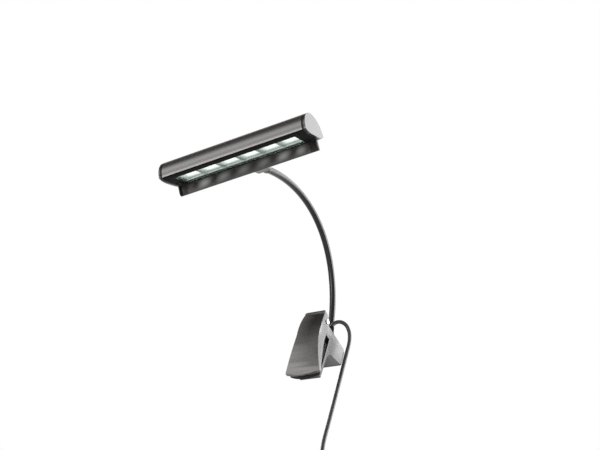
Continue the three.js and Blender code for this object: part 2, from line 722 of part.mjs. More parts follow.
class SpringCoil extends THREE.Curve {
  getPoint(t, target = new THREE.Vector3()) {
    const { turns, radius, half } = SPRING;
    const angle = 2 * Math.PI * (turns * t + 0.3);
    const along = half * (2 * t - 1);
    return target.set(along, PIN.y + radius * Math.cos(angle), PIN.z + radius * Math.sin(angle));
  }
}

// The leg that pushes on the inside of the jaw's upper part.
function springLeg() {
  const path = throughPoints(SPRING_LEG.map(([y, z]) => [SPRING.legX, PIN.y + y, PIN.z + z]));
  return tube(path, SPRING.wire, 6, 4);
}

function wireBoard() {
  const { half, fromFront, fromRear, lift, thick } = WIRE_BOARD;
  const floor = CAVITY.bottom + lift;
  return box(-half, half, CAVITY.front + fromFront, BLOCK.rear - fromRear, floor, floor + thick);
}

function buildClip() {
  add(lamp, 'base_block', baseBlock(), 'satinBlack');
  add(lamp, 'rear_cover', rearCover(), 'satinBlack');
  COVER_SCREWS.places.forEach((x, i) => {
    add(lamp, `cover_screw_${i + 1}`, coverScrew(x), 'steel');
  });
  add(lamp, 'front_jaw', frontJaw(), 'satinBlack');
  add(lamp, 'front_pad', frontPad(), 'rubber');
  add(lamp, 'rear_pad', rearPad(), 'rubber');
  add(lamp, 'hinge_pin', hingePin(), 'steel');
  add(lamp, 'spring_coil', tube(new SpringCoil(), SPRING.wire, 6, 60), 'steel');
  add(lamp, 'spring_leg', springLeg(), 'steel');
  add(lamp, 'wire_board', wireBoard(), 'board');
}

// ---------------------------------------------------------------- lead

function cordGland() {
  const foot = BLOCK.top + GAP;
  const top = foot + GLAND.height - GAP;
  const stem = 2.1;
  const profile = [
    [0, foot - 6],
    [stem, foot - 6],
    [stem, foot],
    [3.5, foot],
    [3.5, foot + 1.4],
    [2.9, foot + 2],
    [2.3, top],
    [0, top],
  ];
  return turned(profile, 16).translate([GLAND.x, GLAND.y, 0]);
}

// The turns of the coil taken together, as one ring whose axis is along Y.
function cordCoil() {
  const { x, y, z, middle, half, flat } = COIL;
  const corners = 10;
  const profile = [];
  for (let i = 0; i < corners; i += 1) {
    const angle = (2 * Math.PI * i) / corners;
    profile.push([middle + half * Math.cos(angle), half * flat * Math.sin(angle)]);
  }
  profile.push([...profile[0]]);
  return turned(profile, 28).rotate([90, 0, 0]).translate([x, y, z]);
}

function cordTie() {
  const { x, y, z, middle, half } = COIL;
  const inner = half + TIE.inner;
  const outer = half + TIE.outer;
  const profile = [[inner, -TIE.half], [outer, -TIE.half], [outer, TIE.half], [inner, TIE.half]];
  return turned([...profile, profile[0]], 20).rotate([0, 90, 0]).translate([x, y, z + middle]);
}

function cordTail() {
  const end = PLUG.top + GAP;
  const heights = [TAIL_TOP, (TAIL_TOP + end) / 2, end];
  return tube(throughPoints(heights.map((z) => [...CORD_END, z])), CORD_RADIUS, 8, 3);
}

function plugGrip() {
  const { top, grip, radius } = PLUG;
  const profile = [
    [0, top - grip],
    [radius - 0.5, top - grip],
    [radius, top - grip + 1],
    [radius, top - 8],
    [3.6, top - 5],
    [2.2, top],
    [0, top],
  ];
  return turned(profile, 16).translate([...CORD_END, 0]);
}

function plugBarrel() {
  const { top, grip, barrel, barrelRadius, bore } = PLUG;
  const high = top - grip - GAP;
  const hollow = rod(bore, high - barrel - 1, high - 2, 12);
  return rod(barrelRadius, high - barrel, high, 16).subtract(hollow).translate([...CORD_END, 0]);
}

function buildLead() {
  add(lamp, 'cord_gland', cordGland(), 'rubber');
  add(lamp, 'cord_run', tube(throughPoints(CORD_ROUTE), CORD_RADIUS, 8, 44), 'lead');
  add(lamp, 'cord_coil', cordCoil(), 'lead');
  add(lamp, 'cord_tie', cordTie(), 'rubber');
  add(lamp, 'cord_tail', cordTail(), 'lead');
  add(lamp, 'plug_grip', plugGrip(), 'rubber');
  add(lamp, 'plug_barrel', plugBarrel(), 'brass');
}

buildHead();
buildBaffle();
buildNeck();
buildClip();
buildLead();

export default lamp;
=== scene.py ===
"""A clip-on reading lamp: a bar-shaped LED head on a gooseneck, a spring clip, a lead and its plug."""
import math

import bpy
import numpy as np
from mathutils import Matrix, Vector


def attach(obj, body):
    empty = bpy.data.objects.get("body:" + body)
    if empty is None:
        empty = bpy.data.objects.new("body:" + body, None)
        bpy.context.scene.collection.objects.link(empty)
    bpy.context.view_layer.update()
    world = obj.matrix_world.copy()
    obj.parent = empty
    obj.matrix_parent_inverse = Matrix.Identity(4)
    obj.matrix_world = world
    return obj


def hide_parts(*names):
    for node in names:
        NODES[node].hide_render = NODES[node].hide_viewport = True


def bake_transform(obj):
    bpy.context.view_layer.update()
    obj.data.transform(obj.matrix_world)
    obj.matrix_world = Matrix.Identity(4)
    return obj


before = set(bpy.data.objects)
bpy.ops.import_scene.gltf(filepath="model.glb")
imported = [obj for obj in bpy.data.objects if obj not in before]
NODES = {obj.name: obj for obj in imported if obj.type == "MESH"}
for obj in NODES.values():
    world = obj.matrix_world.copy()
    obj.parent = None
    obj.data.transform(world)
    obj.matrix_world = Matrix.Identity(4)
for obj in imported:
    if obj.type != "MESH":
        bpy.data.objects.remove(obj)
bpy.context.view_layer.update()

MM = 0.001


def mm(*values):
    """A point given in millimetres, in metres."""
    return Vector(values) * MM


def link(obj):
    bpy.context.scene.collection.objects.link(obj)
    return obj


# ------------------------------------------------------------------ camera

def make_camera():
    data = bpy.data.cameras.new("camera")
    data.sensor_width = 36.0
    data.lens = 60.0
    data.clip_start = 0.01
    camera = link(bpy.data.objects.new("camera", data))
    right = Vector((0.86894, 0.43867, 0.22914)).normalized()
    ahead = Vector((-0.45856, 0.53946, 0.70620)).normalized()
    up = right.cross(ahead).normalized()
    turn = Matrix((right, up, -ahead)).transposed().to_4x4()
    camera.matrix_world = Matrix.Translation(mm(424.9, -573.5, -554.1)) @ turn
    bpy.context.scene.camera = camera


make_camera()

# ------------------------------------------------------------------ lead

CORD_DIAMETER = 3.6
CORD_EXIT = (6.5, 9.5, 45.7)
CORD_START = [
    (6.5, 9.5, 44.4), CORD_EXIT, (6.9, 9.5, 48.3), (8.4, 10.1, 51.2), (11.0, 11.5, 53.3),
    (14.0, 14.0, 54.0), (16.5, 17.1, 52.8), (18.1, 19.9, 49.9), (19.1, 22.0, 45.9), (19.6, 23.3, 41.0),
    (19.9, 23.9, 35.0), (20.0, 24.0, 27.0), (20.0, 24.0, 16.0), (20.0, 24.0, 4.0), (20.0, 24.0, -8.0),
    (20.0, 24.0, -20.0), (20.0, 24.0, -32.0), (20.0, 24.0, -44.0), (20.0, 23.9, -57.0),
    (20.2, 23.4, -68.0), (21.4, 22.2, -80.0), (24.6, 20.4, -91.5),
]
COIL_CENTRE = (14.0, 24.0, -118.0)
COIL_MIDDLE = 20.0
COIL_PITCH = 3.7                       # between turns that lie side by side
COIL_START = 45.0                      # where the lead joins the coil, in degrees from +X
COLUMNS = [(-4.8, (1, 0, -1)), (-1.6, (-1.5, -0.5, 0.5, 1.5)), (1.6, (1, 0, -1)), (4.8, (-0.5, 0.5, 1.5))]
POINTS_A_TURN = 16
PLUG_TOP = -146.0


def coil_places():
    """Where each turn lies in the coil's section: (radius, offset along the coil's axis)."""
    return [(COIL_MIDDLE + COIL_PITCH * step, y) for y, steps in COLUMNS for step in steps]


def coil_point(turn):
    """The lead's middle after so many turns. It steps over to the next place late in each turn."""
    places = coil_places()
    here = min(int(turn), len(places) - 1)
    after = min(here + 1, len(places) - 1)
    share = min(max((turn - here - 0.78) / 0.22, 0.0), 1.0)
    share = share * share * (3 - 2 * share)
    radius = places[here][0] * (1 - share) + places[after][0] * share
    y = places[here][1] * (1 - share) + places[after][1] * share
    angle = math.radians(COIL_START) - 2 * math.pi * turn
    return (COIL_CENTRE[0] + radius * math.cos(angle), COIL_CENTRE[1] + y,
            COIL_CENTRE[2] + radius * math.sin(angle))


def cord_points():
    turns = len(coil_places()) + COIL_START / 360
    steps = round(turns * POINTS_A_TURN)
    coil = [coil_point(turns * i / steps) for i in range(steps + 1)]
    x, y, _ = coil[-1]
    tail = [(x, y, -123.0), (x, y, -131.0), (x, y, -139.0), (x, y, PLUG_TOP - 2)]
    return CORD_START + coil + tail


def curve_through(name, points, radius):
    """A round tube along one smooth open curve. Points and radius are in millimetres."""
    data = bpy.data.curves.new(name, "CURVE")
    data.dimensions = "3D"
    data.bevel_depth = radius * MM
    data.bevel_resolution = 5
    data.resolution_u = 5
    data.use_fill_caps = True
    spline = data.splines.new("BEZIER")
    spline.bezier_points.add(len(points) - 1)
    for place, point in zip(spline.bezier_points, points):
        place.co = mm(*point)
        place.handle_left_type = place.handle_right_type = "AUTO"
    return link(bpy.data.objects.new(name, data))


def length_through(points):
    """Length of the straight lines between the points, in metres."""
    return sum((Vector(b) - Vector(a)).length for a, b in zip(points, points[1:])) * MM


CORD_POINTS = cord_points()
lead = curve_through("lead", CORD_POINTS, CORD_DIAMETER / 2)
CORD_LENGTH = round(length_through(CORD_POINTS) * 1.005, 2)

# ------------------------------------------------------------------ materials

GRAIN_DEPTH = 0.06 * MM
EDGE_WEAR_AND_HIGHLIGHT_STARTS, EDGE_WEAR_AND_HIGHLIGHT_FULL = 0.56, 0.66    # how sharp an edge is before it is lightened, as worn paint and as a painted highlight


def grained(name, colour, roughness, grain=900.0, bump=0.12, vary=0.12, metallic=0.0, specular=0.5,
            coat=0.0, wear_and_edge_highlight=None, alpha=1.0, emission=None):
    """A finish with fine grain: colour and roughness wander a little and the surface has relief."""
    material = bpy.data.materials.new(name)
    material.use_nodes = True
    nodes, links = material.node_tree.nodes, material.node_tree.links
    shader = nodes["Principled BSDF"]
    shader.inputs["Metallic"].default_value = metallic
    shader.inputs["Specular IOR Level"].default_value = specular
    shader.inputs["Coat Weight"].default_value = coat
    shader.inputs["Coat Roughness"].default_value = 0.12
    shader.inputs["Alpha"].default_value = alpha
    where = nodes.new("ShaderNodeTexCoord")

    def noise(scale, detail):
        node = nodes.new("ShaderNodeTexNoise")
        node.inputs["Scale"].default_value = scale
        node.inputs["Detail"].default_value = detail
        links.new(where.outputs["Object"], node.inputs["Vector"])
        return node.outputs["Fac"]

    broad = noise(grain * 0.06, 3.0)
    fine = noise(grain, 4.0)
    tone = nodes.new("ShaderNodeMix")
    tone.data_type = "RGBA"
    tone.inputs["A"].default_value = (*[c * (1 - vary) for c in colour], 1)
    tone.inputs["B"].default_value = (*[min(c * (1 + vary), 1) for c in colour], 1)
    links.new(broad, tone.inputs["Factor"])
    top = tone.outputs["Result"]
    # Sharp edges are lightened by pointiness: partly paint wear, partly a painted highlight along the rims.
    if wear_and_edge_highlight:
        edge = nodes.new("ShaderNodeNewGeometry")
        ramp = nodes.new("ShaderNodeMapRange")
        ramp.inputs["From Min"].default_value = EDGE_WEAR_AND_HIGHLIGHT_STARTS
        ramp.inputs["From Max"].default_value = EDGE_WEAR_AND_HIGHLIGHT_FULL
        ramp.inputs["To Max"].default_value = 0.5
        links.new(edge.outputs["Pointiness"], ramp.inputs["Value"])
        worn_and_highlit = nodes.new("ShaderNodeMix")
        worn_and_highlit.data_type = "RGBA"
        worn_and_highlit.inputs["B"].default_value = (*wear_and_edge_highlight, 1)
        links.new(ramp.outputs["Result"], worn_and_highlit.inputs["Factor"])
        links.new(top, worn_and_highlit.inputs["A"])
        top = worn_and_highlit.outputs["Result"]
    links.new(top, shader.inputs["Base Color"])
    if emission:
        shader.inputs["Emission Color"].default_value = (*emission[0], 1)
        shader.inputs["Emission Strength"].default_value = emission[1]
    gloss = nodes.new("ShaderNodeMapRange")
    gloss.inputs["To Min"].default_value = max(roughness - 0.06, 0.02)
    gloss.inputs["To Max"].default_value = min(roughness + 0.06, 1.0)
    links.new(fine, gloss.inputs["Value"])
    links.new(gloss.outputs["Result"], shader.inputs["Roughness"])
    relief = nodes.new("ShaderNodeBump")
    relief.inputs["Strength"].default_value = bump
    relief.inputs["Distance"].default_value = GRAIN_DEPTH
    links.new(fine, relief.inputs["Height"])
    links.new(relief.outputs["Normal"], shader.inputs["Normal"])
    return material


HEAD_PAINT = grained("head_paint", (0.0135, 0.0112, 0.0107), 0.33, grain=1500, bump=0.12, specular=1.0,
                     wear_and_edge_highlight=(0.035, 0.035, 0.035))
# The clip's light edge colour is mostly a painted highlight on its rims, with a little wear.
CLIP_PAINT = grained("clip_paint", (0.0125, 0.0108, 0.0104), 0.28, grain=1300, bump=0.04, specular=0.45,
                     wear_and_edge_highlight=(0.16, 0.15, 0.15))
TRAY = grained("tray_matt", (0.0045, 0.0043, 0.0042), 0.75, grain=1600, bump=0.3, specular=0.06)
MOULDED = grained("moulded_black", (0.007, 0.007, 0.007), 0.55, grain=1600, bump=0.4, specular=0.3)
WINDOW = grained("window", (0.20, 0.26, 0.235), 0.10, grain=500, bump=0.02, vary=0.03, alpha=0.16)
BOARD = grained("circuit_board", (0.05, 0.17, 0.08), 0.35, grain=2500, bump=0.4, vary=0.35, coat=0.3)
CHIP = grained("led_chip", (0.85, 0.80, 0.45), 0.3, grain=2500, bump=0.1, emission=((0.97, 1.0, 0.96), 1.6))
NECK_METAL = grained("neck_metal", (0.0045, 0.0045, 0.0045), 0.11, grain=2400, bump=0.04, specular=0.25)
STEEL = grained("steel", (0.56, 0.56, 0.55), 0.28, grain=2600, bump=0.2, metallic=1.0)
RUBBER = grained("rubber_black", (0.0055, 0.0055, 0.0055), 0.72, grain=2000, bump=0.5, specular=0.12)
SHEATH = grained("lead_sheath", (0.012, 0.012, 0.012), 0.42, grain=1800, bump=0.25)
NICKEL = grained("plug_metal", (0.70, 0.68, 0.63), 0.16, grain=2600, bump=0.08, metallic=1.0)


def finish(obj, material):
    obj.data.materials.clear()
    obj.data.materials.append(material)
    return obj


# ------------------------------------------------------------------ mesh helpers

def mesh_object(name, verts, faces, smooth=True):
    """A mesh from vertices in metres."""
    mesh = bpy.data.meshes.new(name)
    mesh.from_pydata([tuple(v) for v in verts], [], faces)
    mesh.update()
    for face in mesh.polygons:
        face.use_smooth = smooth
    return link(bpy.data.objects.new(name, mesh))


def sweep(name, rings):
    """A tube with closed ends through rings of points, all with the same count."""
    count = len(rings[0])
    verts = [p for ring in rings for p in ring]
    faces = []
    for i in range(len(rings) - 1):
        for j in range(count):
            k = (j + 1) % count
            faces.append((i * count + j, i * count + k, (i + 1) * count + k, (i + 1) * count + j))
    faces.append(tuple(reversed(range(count))))
    last = (len(rings) - 1) * count
    faces.append(tuple(last + j for j in range(count)))
    return mesh_object(name, verts, faces)


def placed(origin, along):
    """A matrix whose z axis is along and whose origin is origin, in metres."""
    z = Vector(along).normalized()
    x = z.orthogonal()
    x = (x - z * x.dot(z)).normalized()
    y = z.cross(x)
    return Matrix.Translation(origin) @ Matrix((x, y, z)).transposed().to_4x4()


def turned(name, profile, place, sides=40, shape=None):
    """A turned solid. The profile is (radius, height) in mm. shape(angle, height) scales the radius."""
    rings = []
    for radius, height in profile:
        ring = []
        for j in range(sides):
            angle = 2 * math.pi * j / sides
            r = radius * (shape(angle, height) if shape else 1.0)
            ring.append(place @ mm(r * math.cos(angle), r * math.sin(angle), height))
        rings.append(ring)
    return sweep(name, rings)


SHARP_EDGE = math.radians(32)          # edges at least this sharp are rounded
SAME_FLAT = math.radians(0.6)          # facets that differ by less are one flat face
WELD_DISTANCE = 0.002 * MM


def refined(node, material, width=0.25, segments=3, flat_sides=True):
    """The CAD node itself, with its flat facets joined, its edges rounded and its own finish.

    flat_sides keeps the faces beside a rounded edge flat in the shading.
    """
    obj = NODES[node]
    mesh = obj.data
    if "custom_normal" in mesh.attributes:
        mesh.attributes.remove(mesh.attributes["custom_normal"])
    for face in mesh.polygons:
        face.use_smooth = True
    for edge in mesh.edges:
        edge.use_edge_sharp = False
    weld = obj.modifiers.new("weld", "WELD")
    weld.merge_threshold = WELD_DISTANCE
    flat = obj.modifiers.new("flat", "DECIMATE")
    flat.decimate_type = "DISSOLVE"
    flat.angle_limit = SAME_FLAT
    edges = obj.modifiers.new("edges", "BEVEL")
    edges.width = width * MM
    edges.segments = segments
    edges.limit_method = "ANGLE"
    edges.angle_limit = SHARP_EDGE
    edges.harden_normals = flat_sides
    edges.use_clamp_overlap = True
    finish(obj, material)
    return obj


# ------------------------------------------------------------------ head

HEAD_AXES = {
    "x": Vector((0.98642, 0.01722, 0.16333)),
    "y": Vector((-0.12224, 0.74112, 0.66015)),
    "z": Vector((-0.10968, -0.67115, 0.73317)),
}
HEAD_PLACE = mm(13.5, -188.5, 55.5)
LED_PITCH = 18.5 * MM
NECK_SOCKET = (10, 27, -8)             # where the neck's line enters the boss, in the head's frame
HEAD = Matrix.Translation(HEAD_PLACE) @ Matrix(
    (HEAD_AXES["x"], HEAD_AXES["y"], HEAD_AXES["z"])).transposed().to_4x4()


def on_head(x, y, z):
    """A point given in the head's own frame, in millimetres."""
    return HEAD @ mm(x, y, z)


class HeadFinish:
    """Small helper for finishes that are laid out by the head's own axes."""

    def __init__(self, material):
        self.nodes, self.links = material.node_tree.nodes, material.node_tree.links
        self.shader = self.nodes["Principled BSDF"]
        where = self.nodes.new("ShaderNodeTexCoord")
        own = self.nodes.new("ShaderNodeMapping")
        own.vector_type = "TEXTURE"
        own.inputs["Location"].default_value = HEAD_PLACE
        own.inputs["Rotation"].default_value = HEAD.to_euler("XYZ")
        self.links.new(where.outputs["Object"], own.inputs["Vector"])
        axes = self.nodes.new("ShaderNodeSeparateXYZ")
        self.links.new(own.outputs["Vector"], axes.inputs["Vector"])
        self.x, self.y, self.z = axes.outputs
        self.along = self.maths("SUBTRACT", self.maths("FRACT", self.maths("DIVIDE", self.x, LED_PITCH)), 0.5)

    def maths(self, kind, a, b=0.0, c=0.0):
        node = self.nodes.new("ShaderNodeMath")
        node.operation = kind
        for socket, value in zip(node.inputs, (a, b, c)):
            if isinstance(value, float):
                socket.default_value = value
            else:
                self.links.new(value, socket)
        return node.outputs["Value"]

    def falls(self, value, start, end, high=1.0, low=0.0):
        """High below start, low past end."""
        node = self.nodes.new("ShaderNodeMapRange")
        node.interpolation_type = "SMOOTHSTEP"
        for name, number in (("From Min", start), ("From Max", end), ("To Min", high), ("To Max", low)):
            node.inputs[name].default_value = number
        self.links.new(value, node.inputs["Value"])
        return node.outputs["Result"]


def painted_glow_cells():
    """White cells with a painted glow standing in for the light from their LEDs, and a darker grey-green
    plate between them, painted as shade on the cell walls.
    """
    material = grained("reflector_white", (0.6, 0.64, 0.62), 0.34, grain=900, bump=0.08, vary=0.02)
    kit = HeadFinish(material)
    maths, falls = kit.maths, kit.falls
    window_middle, window_depth = -3.7 * MM, 24 * MM
    across = maths("DIVIDE", maths("ADD", kit.y, -window_middle), window_depth)
    u, v = maths("ABSOLUTE", kit.along), maths("ABSOLUTE", across)
    deep = maths("MULTIPLY", falls(across, 0.36, 0.44), falls(maths("MULTIPLY", across, -1.0), 0.44, 0.52))
    cell = maths("MULTIPLY", falls(u, 0.30, 0.44), deep)
    # A painted dark mark at each cell's front edge, for the LED seen there and its shadow.
    painted_led_shadow_mark = maths("MULTIPLY", falls(u, 0.05, 0.10), falls(across, -0.36, -0.28))
    cell = maths("MULTIPLY", cell, maths("SUBTRACT", 1.0, maths("MULTIPLY", painted_led_shadow_mark, 0.6)))
    from_led = maths("SQRT", maths("ADD", maths("MULTIPLY", u, u), maths("MULTIPLY", v, v)))
    # A faint painted glow on the ledge behind the cells.
    painted_ledge_glow = maths("MULTIPLY", falls(across, 0.44, 0.46, 0.0, 1.0), 0.30)
    # Painted glow, brightest near each LED: the cells glow by emission, though only the LED chips are lamps.
    painted_glow = maths("MULTIPLY", cell, maths("MULTIPLY_ADD", falls(from_led, 0.10, 0.55), 0.42, 0.62))
    painted_glow = maths("ADD", painted_glow, painted_ledge_glow)
    # Lighter cells and a darker plate between them: painted light and shade of the cell walls.
    cell_light_plate_shade = kit.nodes.new("ShaderNodeMix")
    cell_light_plate_shade.data_type = "RGBA"
    cell_light_plate_shade.inputs["A"].default_value = (0.30, 0.35, 0.33, 1)
    cell_light_plate_shade.inputs["B"].default_value = (0.62, 0.66, 0.64, 1)
    kit.links.new(cell, cell_light_plate_shade.inputs["Factor"])
    kit.links.new(cell_light_plate_shade.outputs["Result"], kit.shader.inputs["Base Color"])
    kit.links.new(painted_glow, kit.shader.inputs["Emission Strength"])
    kit.shader.inputs["Emission Color"].default_value = (0.96, 1.0, 0.985, 1)
    return material


def baffle_with_painted_light_pools():
    """The baffle's paint, with soft painted pools of light below the cells, and duller bands at both ends."""
    material = grained("baffle_paint", (0.0125, 0.0112, 0.0108), 0.26, grain=1500, bump=0.12)
    kit = HeadFinish(material)
    maths, falls = kit.maths, kit.falls
    # The pools of light are painted by emission, one slanted pool below each cell, stronger towards the ends.
    painted_pool_level, painted_pool_shift, painted_pool_half_height = 7.2 * MM, 5.5 * MM, 5.2 * MM
    height = maths("ADD", kit.z, painted_pool_level)
    slant = maths("MULTIPLY", height, 0.5)
    shifted = maths("SUBTRACT", maths("SUBTRACT", kit.x, painted_pool_shift), slant)
    along = maths("SUBTRACT", maths("FRACT", maths("DIVIDE", shifted, LED_PITCH)), 0.5)
    low = falls(maths("ABSOLUTE", height), 0.0, painted_pool_half_height)
    painted_light_pool = maths("MULTIPLY", falls(maths("ABSOLUTE", along), 0.0, 0.48), low)
    across = maths("ABSOLUTE", kit.x)
    painted_light_pool = maths("MULTIPLY", painted_light_pool, falls(across, 10 * MM, 45 * MM, 0.09, 0.22))
    front_face = falls(kit.y, 9.1 * MM, 9.5 * MM)
    lit = maths("MULTIPLY", front_face, falls(across, 46 * MM, 58 * MM))
    painted_glow = maths("MULTIPLY", painted_light_pool, lit)
    kit.links.new(painted_glow, kit.shader.inputs["Emission Strength"])
    kit.shader.inputs["Emission Color"].default_value = (0.95, 1.0, 0.98, 1)
    gleam = falls(across, 57.2 * MM, 58 * MM, 0.15, 0.05)
    kit.links.new(gleam, kit.shader.inputs["Specular IOR Level"])
    return material


def cap_finish():
    """Moulded caps: a satin face, and a narrow matt rim where it meets the shell."""
    material = grained("cap_black", (0.011, 0.0105, 0.0103), 0.30, grain=1800, bump=0.12)
    kit = HeadFinish(material)
    rim = kit.falls(kit.maths("ABSOLUTE", kit.x), 65.8 * MM, 66.2 * MM, 0.06, 0.5)
    kit.links.new(rim, kit.shader.inputs["Specular IOR Level"])
    return material


CAP_BLACK = cap_finish()
BAFFLE_PAINT_AND_LIGHT_POOLS = baffle_with_painted_light_pools()
REFLECTOR_PAINTED_GLOW = painted_glow_cells()
refined("shade_shell", HEAD_PAINT, 0.3)
refined("end_cap_right", CAP_BLACK, 0.7, 4)
refined("end_cap_left", CAP_BLACK, 0.7, 4)
refined("led_tray", TRAY, 0.3)
refined("light_window", WINDOW, 0.2)
refined("reflector", REFLECTOR_PAINTED_GLOW, 0.25)
refined("led_board", BOARD, 0.1, 2)
for index in range(1, 7):
    refined(f"led_{index}", CHIP, 0.15, 2)
refined("switch_body", MOULDED, 0.3)
refined("glare_baffle", BAFFLE_PAINT_AND_LIGHT_POOLS, 0.3)
refined("neck_boss", HEAD_PAINT, 0.5, 4)


def pan_head(name, node, place, radius, high, shank_radius, shank_length, body):
    """A domed screw head with a cross recess and its shank, pointing down -z from the head."""
    sides, steps = 48, 14
    rings = []
    for i in range(steps, 0, -1):
        share = i / steps
        ring = []
        for j in range(sides):
            angle = 2 * math.pi * j / sides
            r = radius * share
            a, b = abs(r * math.cos(angle)), abs(r * math.sin(angle))
            arm = 0.16 * radius
            inside = max(0.0, 1 - min(a, b) / arm) * max(0.0, 1 - max(a, b) / (0.62 * radius))
            height = high * math.sqrt(max(0.0, 1 - (0.78 * share) ** 2)) - 0.9 * high * min(1.0, 3 * inside)
            ring.append(place @ mm(r * math.cos(angle), r * math.sin(angle), height))
        rings.append(ring)
    turns = [2 * math.pi * j / sides for j in range(sides)]
    rim = [place @ mm(radius * math.cos(a), radius * math.sin(a), 0.0) for a in turns]
    neck = [[place @ mm(shank_radius * math.cos(a), shank_radius * math.sin(a), z) for a in turns]
            for z in (0.0, -shank_length)]
    obj = sweep(name, [neck[1], neck[0], rim, *rings])
    finish(obj, STEEL)
    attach(obj, body)
    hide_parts(node)
    return obj


for index, x in enumerate((-48, -14, 48), 1):
    place = placed(on_head(x, 14, -4.4), -HEAD_AXES["z"])
    pan_head(f"baffle_screw_{index}_head", f"baffle_screw_{index}", place, 2.1, 1.1, 1.0, 1.4, "head")

# The switch knob: a small slider with ridges across it.
SWITCH_X, SWITCH_Y = -60.6, 3.0


def make_knob():
    points = []
    half, reach, top, bottom = 1.2, 1.7, 1.9, -3.4
    steps = 24
    for i in range(steps + 1):
        y = -reach + 2 * reach * i / steps
        ridge = 0.22 * (0.5 - 0.5 * math.cos(2 * math.pi * 3 * i / steps))
        round_off = 0.35 * (abs(y) / reach) ** 6
        points.append((y, bottom + ridge + round_off))
    rings = []
    for x in (-half, -half + 0.15, half - 0.15, half):
        inset = 0.12 if abs(x) == half else 0.0
        lower = [on_head(SWITCH_X + x, SWITCH_Y + y * (1 - inset / reach), z + inset) for y, z in points]
        upper = [on_head(SWITCH_X + x, SWITCH_Y + reach - inset, top),
                 on_head(SWITCH_X + x, SWITCH_Y - reach + inset, top)]
        rings.append(lower + upper)
    obj = sweep("switch_slider", rings)
    for face in obj.data.polygons:
        face.use_smooth = False
    finish(obj, MOULDED)
    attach(obj, "switch")
    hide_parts("switch_knob")


make_knob()

# ------------------------------------------------------------------ gooseneck

NECK_BEZIER = [mm(0, 18, 46), mm(0, 4, 129), mm(10, -80, 143), on_head(*NECK_SOCKET)]
NECK_OUTER = 3.05
NECK_GROOVE = 0.11
RIB_PITCH = 1.45
RINGS_A_RIB = 8
NECK_SIDES = 20


def neck_curve():
    """Points close together along the neck, with their distance from its foot in millimetres."""
    p0, p1, p2, p3 = NECK_BEZIER
    points = []
    for i in range(2001):
        t = i / 2000
        points.append(p0 * (1 - t) ** 3 + p1 * 3 * t * (1 - t) ** 2 + p2 * 3 * t * t * (1 - t) + p3 * t ** 3)
    distance = [0.0]
    for a, b in zip(points, points[1:]):
        distance.append(distance[-1] + (b - a).length / MM)
    return points, distance


NECK_POINTS, NECK_DISTANCE = neck_curve()
NECK_LENGTH = NECK_DISTANCE[-1]


def on_neck(distance):
    """The point at a distance along the neck and its direction there. It runs straight past its ends."""
    clipped = min(max(distance, 0.0), NECK_LENGTH)
    i = min(max(int(np.searchsorted(NECK_DISTANCE, clipped)), 1), len(NECK_POINTS) - 1)
    a, b = NECK_POINTS[i - 1], NECK_POINTS[i]
    share = (clipped - NECK_DISTANCE[i - 1]) / (NECK_DISTANCE[i] - NECK_DISTANCE[i - 1])
    along = (b - a).normalized()
    return a.lerp(b, share) + along * (distance - clipped) * MM, along


def neck_frames(step, start, end):
    """Frames along the neck that don't twist: (distance, point, side, other side)."""
    frames = []
    _, along = on_neck(start)
    side = along.orthogonal().normalized()
    count = math.ceil((end - start) / step)
    for i in range(count + 1):
        distance = start + (end - start) * i / count
        point, along = on_neck(distance)
        side = (side - along * side.dot(along)).normalized()
        frames.append((distance, point, side, along.cross(side)))
    return frames


def rib_radius(distance, angle):
    """The wound wire's outline: round ribs on a helix."""
    phase = (distance / RIB_PITCH + angle / (2 * math.pi)) % 1.0
    bulge = math.sqrt(max(0.0, 1 - (2 * phase - 1) ** 2))
    return NECK_OUTER - NECK_GROOVE * (1 - bulge)


def make_neck():
    links = 8
    element = NECK_LENGTH / links
    step = RIB_PITCH / RINGS_A_RIB
    frames = neck_frames(step, -0.8, NECK_LENGTH + 1.2)
    turns = [2 * math.pi * j / NECK_SIDES for j in range(NECK_SIDES)]
    for k in range(1, links + 2):
        low = -1.0 if k == 1 else (k - 1.5) * element
        high = NECK_LENGTH + 2.0 if k == links + 1 else (k - 0.5) * element
        rings = []
        for distance, point, side, other in frames:
            if low - 0.51 * step <= distance <= high + 0.51 * step:
                ring = []
                for a in turns:
                    outward = side * math.cos(a) + other * math.sin(a)
                    ring.append(point + outward * MM * rib_radius(distance, a))
                rings.append(ring)
        piece = sweep(f"gooseneck_{k}", rings)
        finish(piece, NECK_METAL)
        start = on_neck(max(low, 0.0))[0]
        end = on_neck(min(high, NECK_LENGTH))[0]
        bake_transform(piece)
        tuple(start)
        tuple(end)
        if k <= links:
            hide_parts(f"neck_link_{k}")


make_neck()
FOOT, FOOT_ALONG = on_neck(0.0)


def make_ferrules():
    """Crimped end fittings: a collar with rolled edges and two grooves."""
    lower = [(2.6, -18), (2.6, -8.2), (4.0, -8.2), (4.3, -7.9), (4.3, -6.6), (4.05, -6.35), (4.05, -5.9),
             (4.3, -5.65), (4.3, -4.2), (4.1, -3.9), (3.75, -1.2), (3.72, -0.5), (3.66, 0.6), (3.45, 0.9),
             (3.1, 0.9)]
    piece = turned("ferrule_lower", lower, placed(FOOT, FOOT_ALONG), 40)
    finish(piece, NECK_METAL)
    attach(piece, "clip_base")
    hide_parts("neck_ferrule_lower")
    back = -HEAD_AXES["y"]
    upper = [(3.1, -0.6), (3.5, -0.6), (3.62, -0.45), (3.66, 0.4), (3.66, 2.2), (3.5, 2.4), (3.5, 2.8),
             (3.66, 3.0), (3.66, 5.8), (3.45, 6.1), (2.6, 6.1), (2.6, 12.1)]
    piece = turned("ferrule_upper", upper, placed(on_head(*NECK_SOCKET), back), 40)
    finish(piece, NECK_METAL)
    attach(piece, "head")
    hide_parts("neck_ferrule_upper")


make_ferrules()
refined("neck_nut", STEEL, 0.3)

# ------------------------------------------------------------------ clip

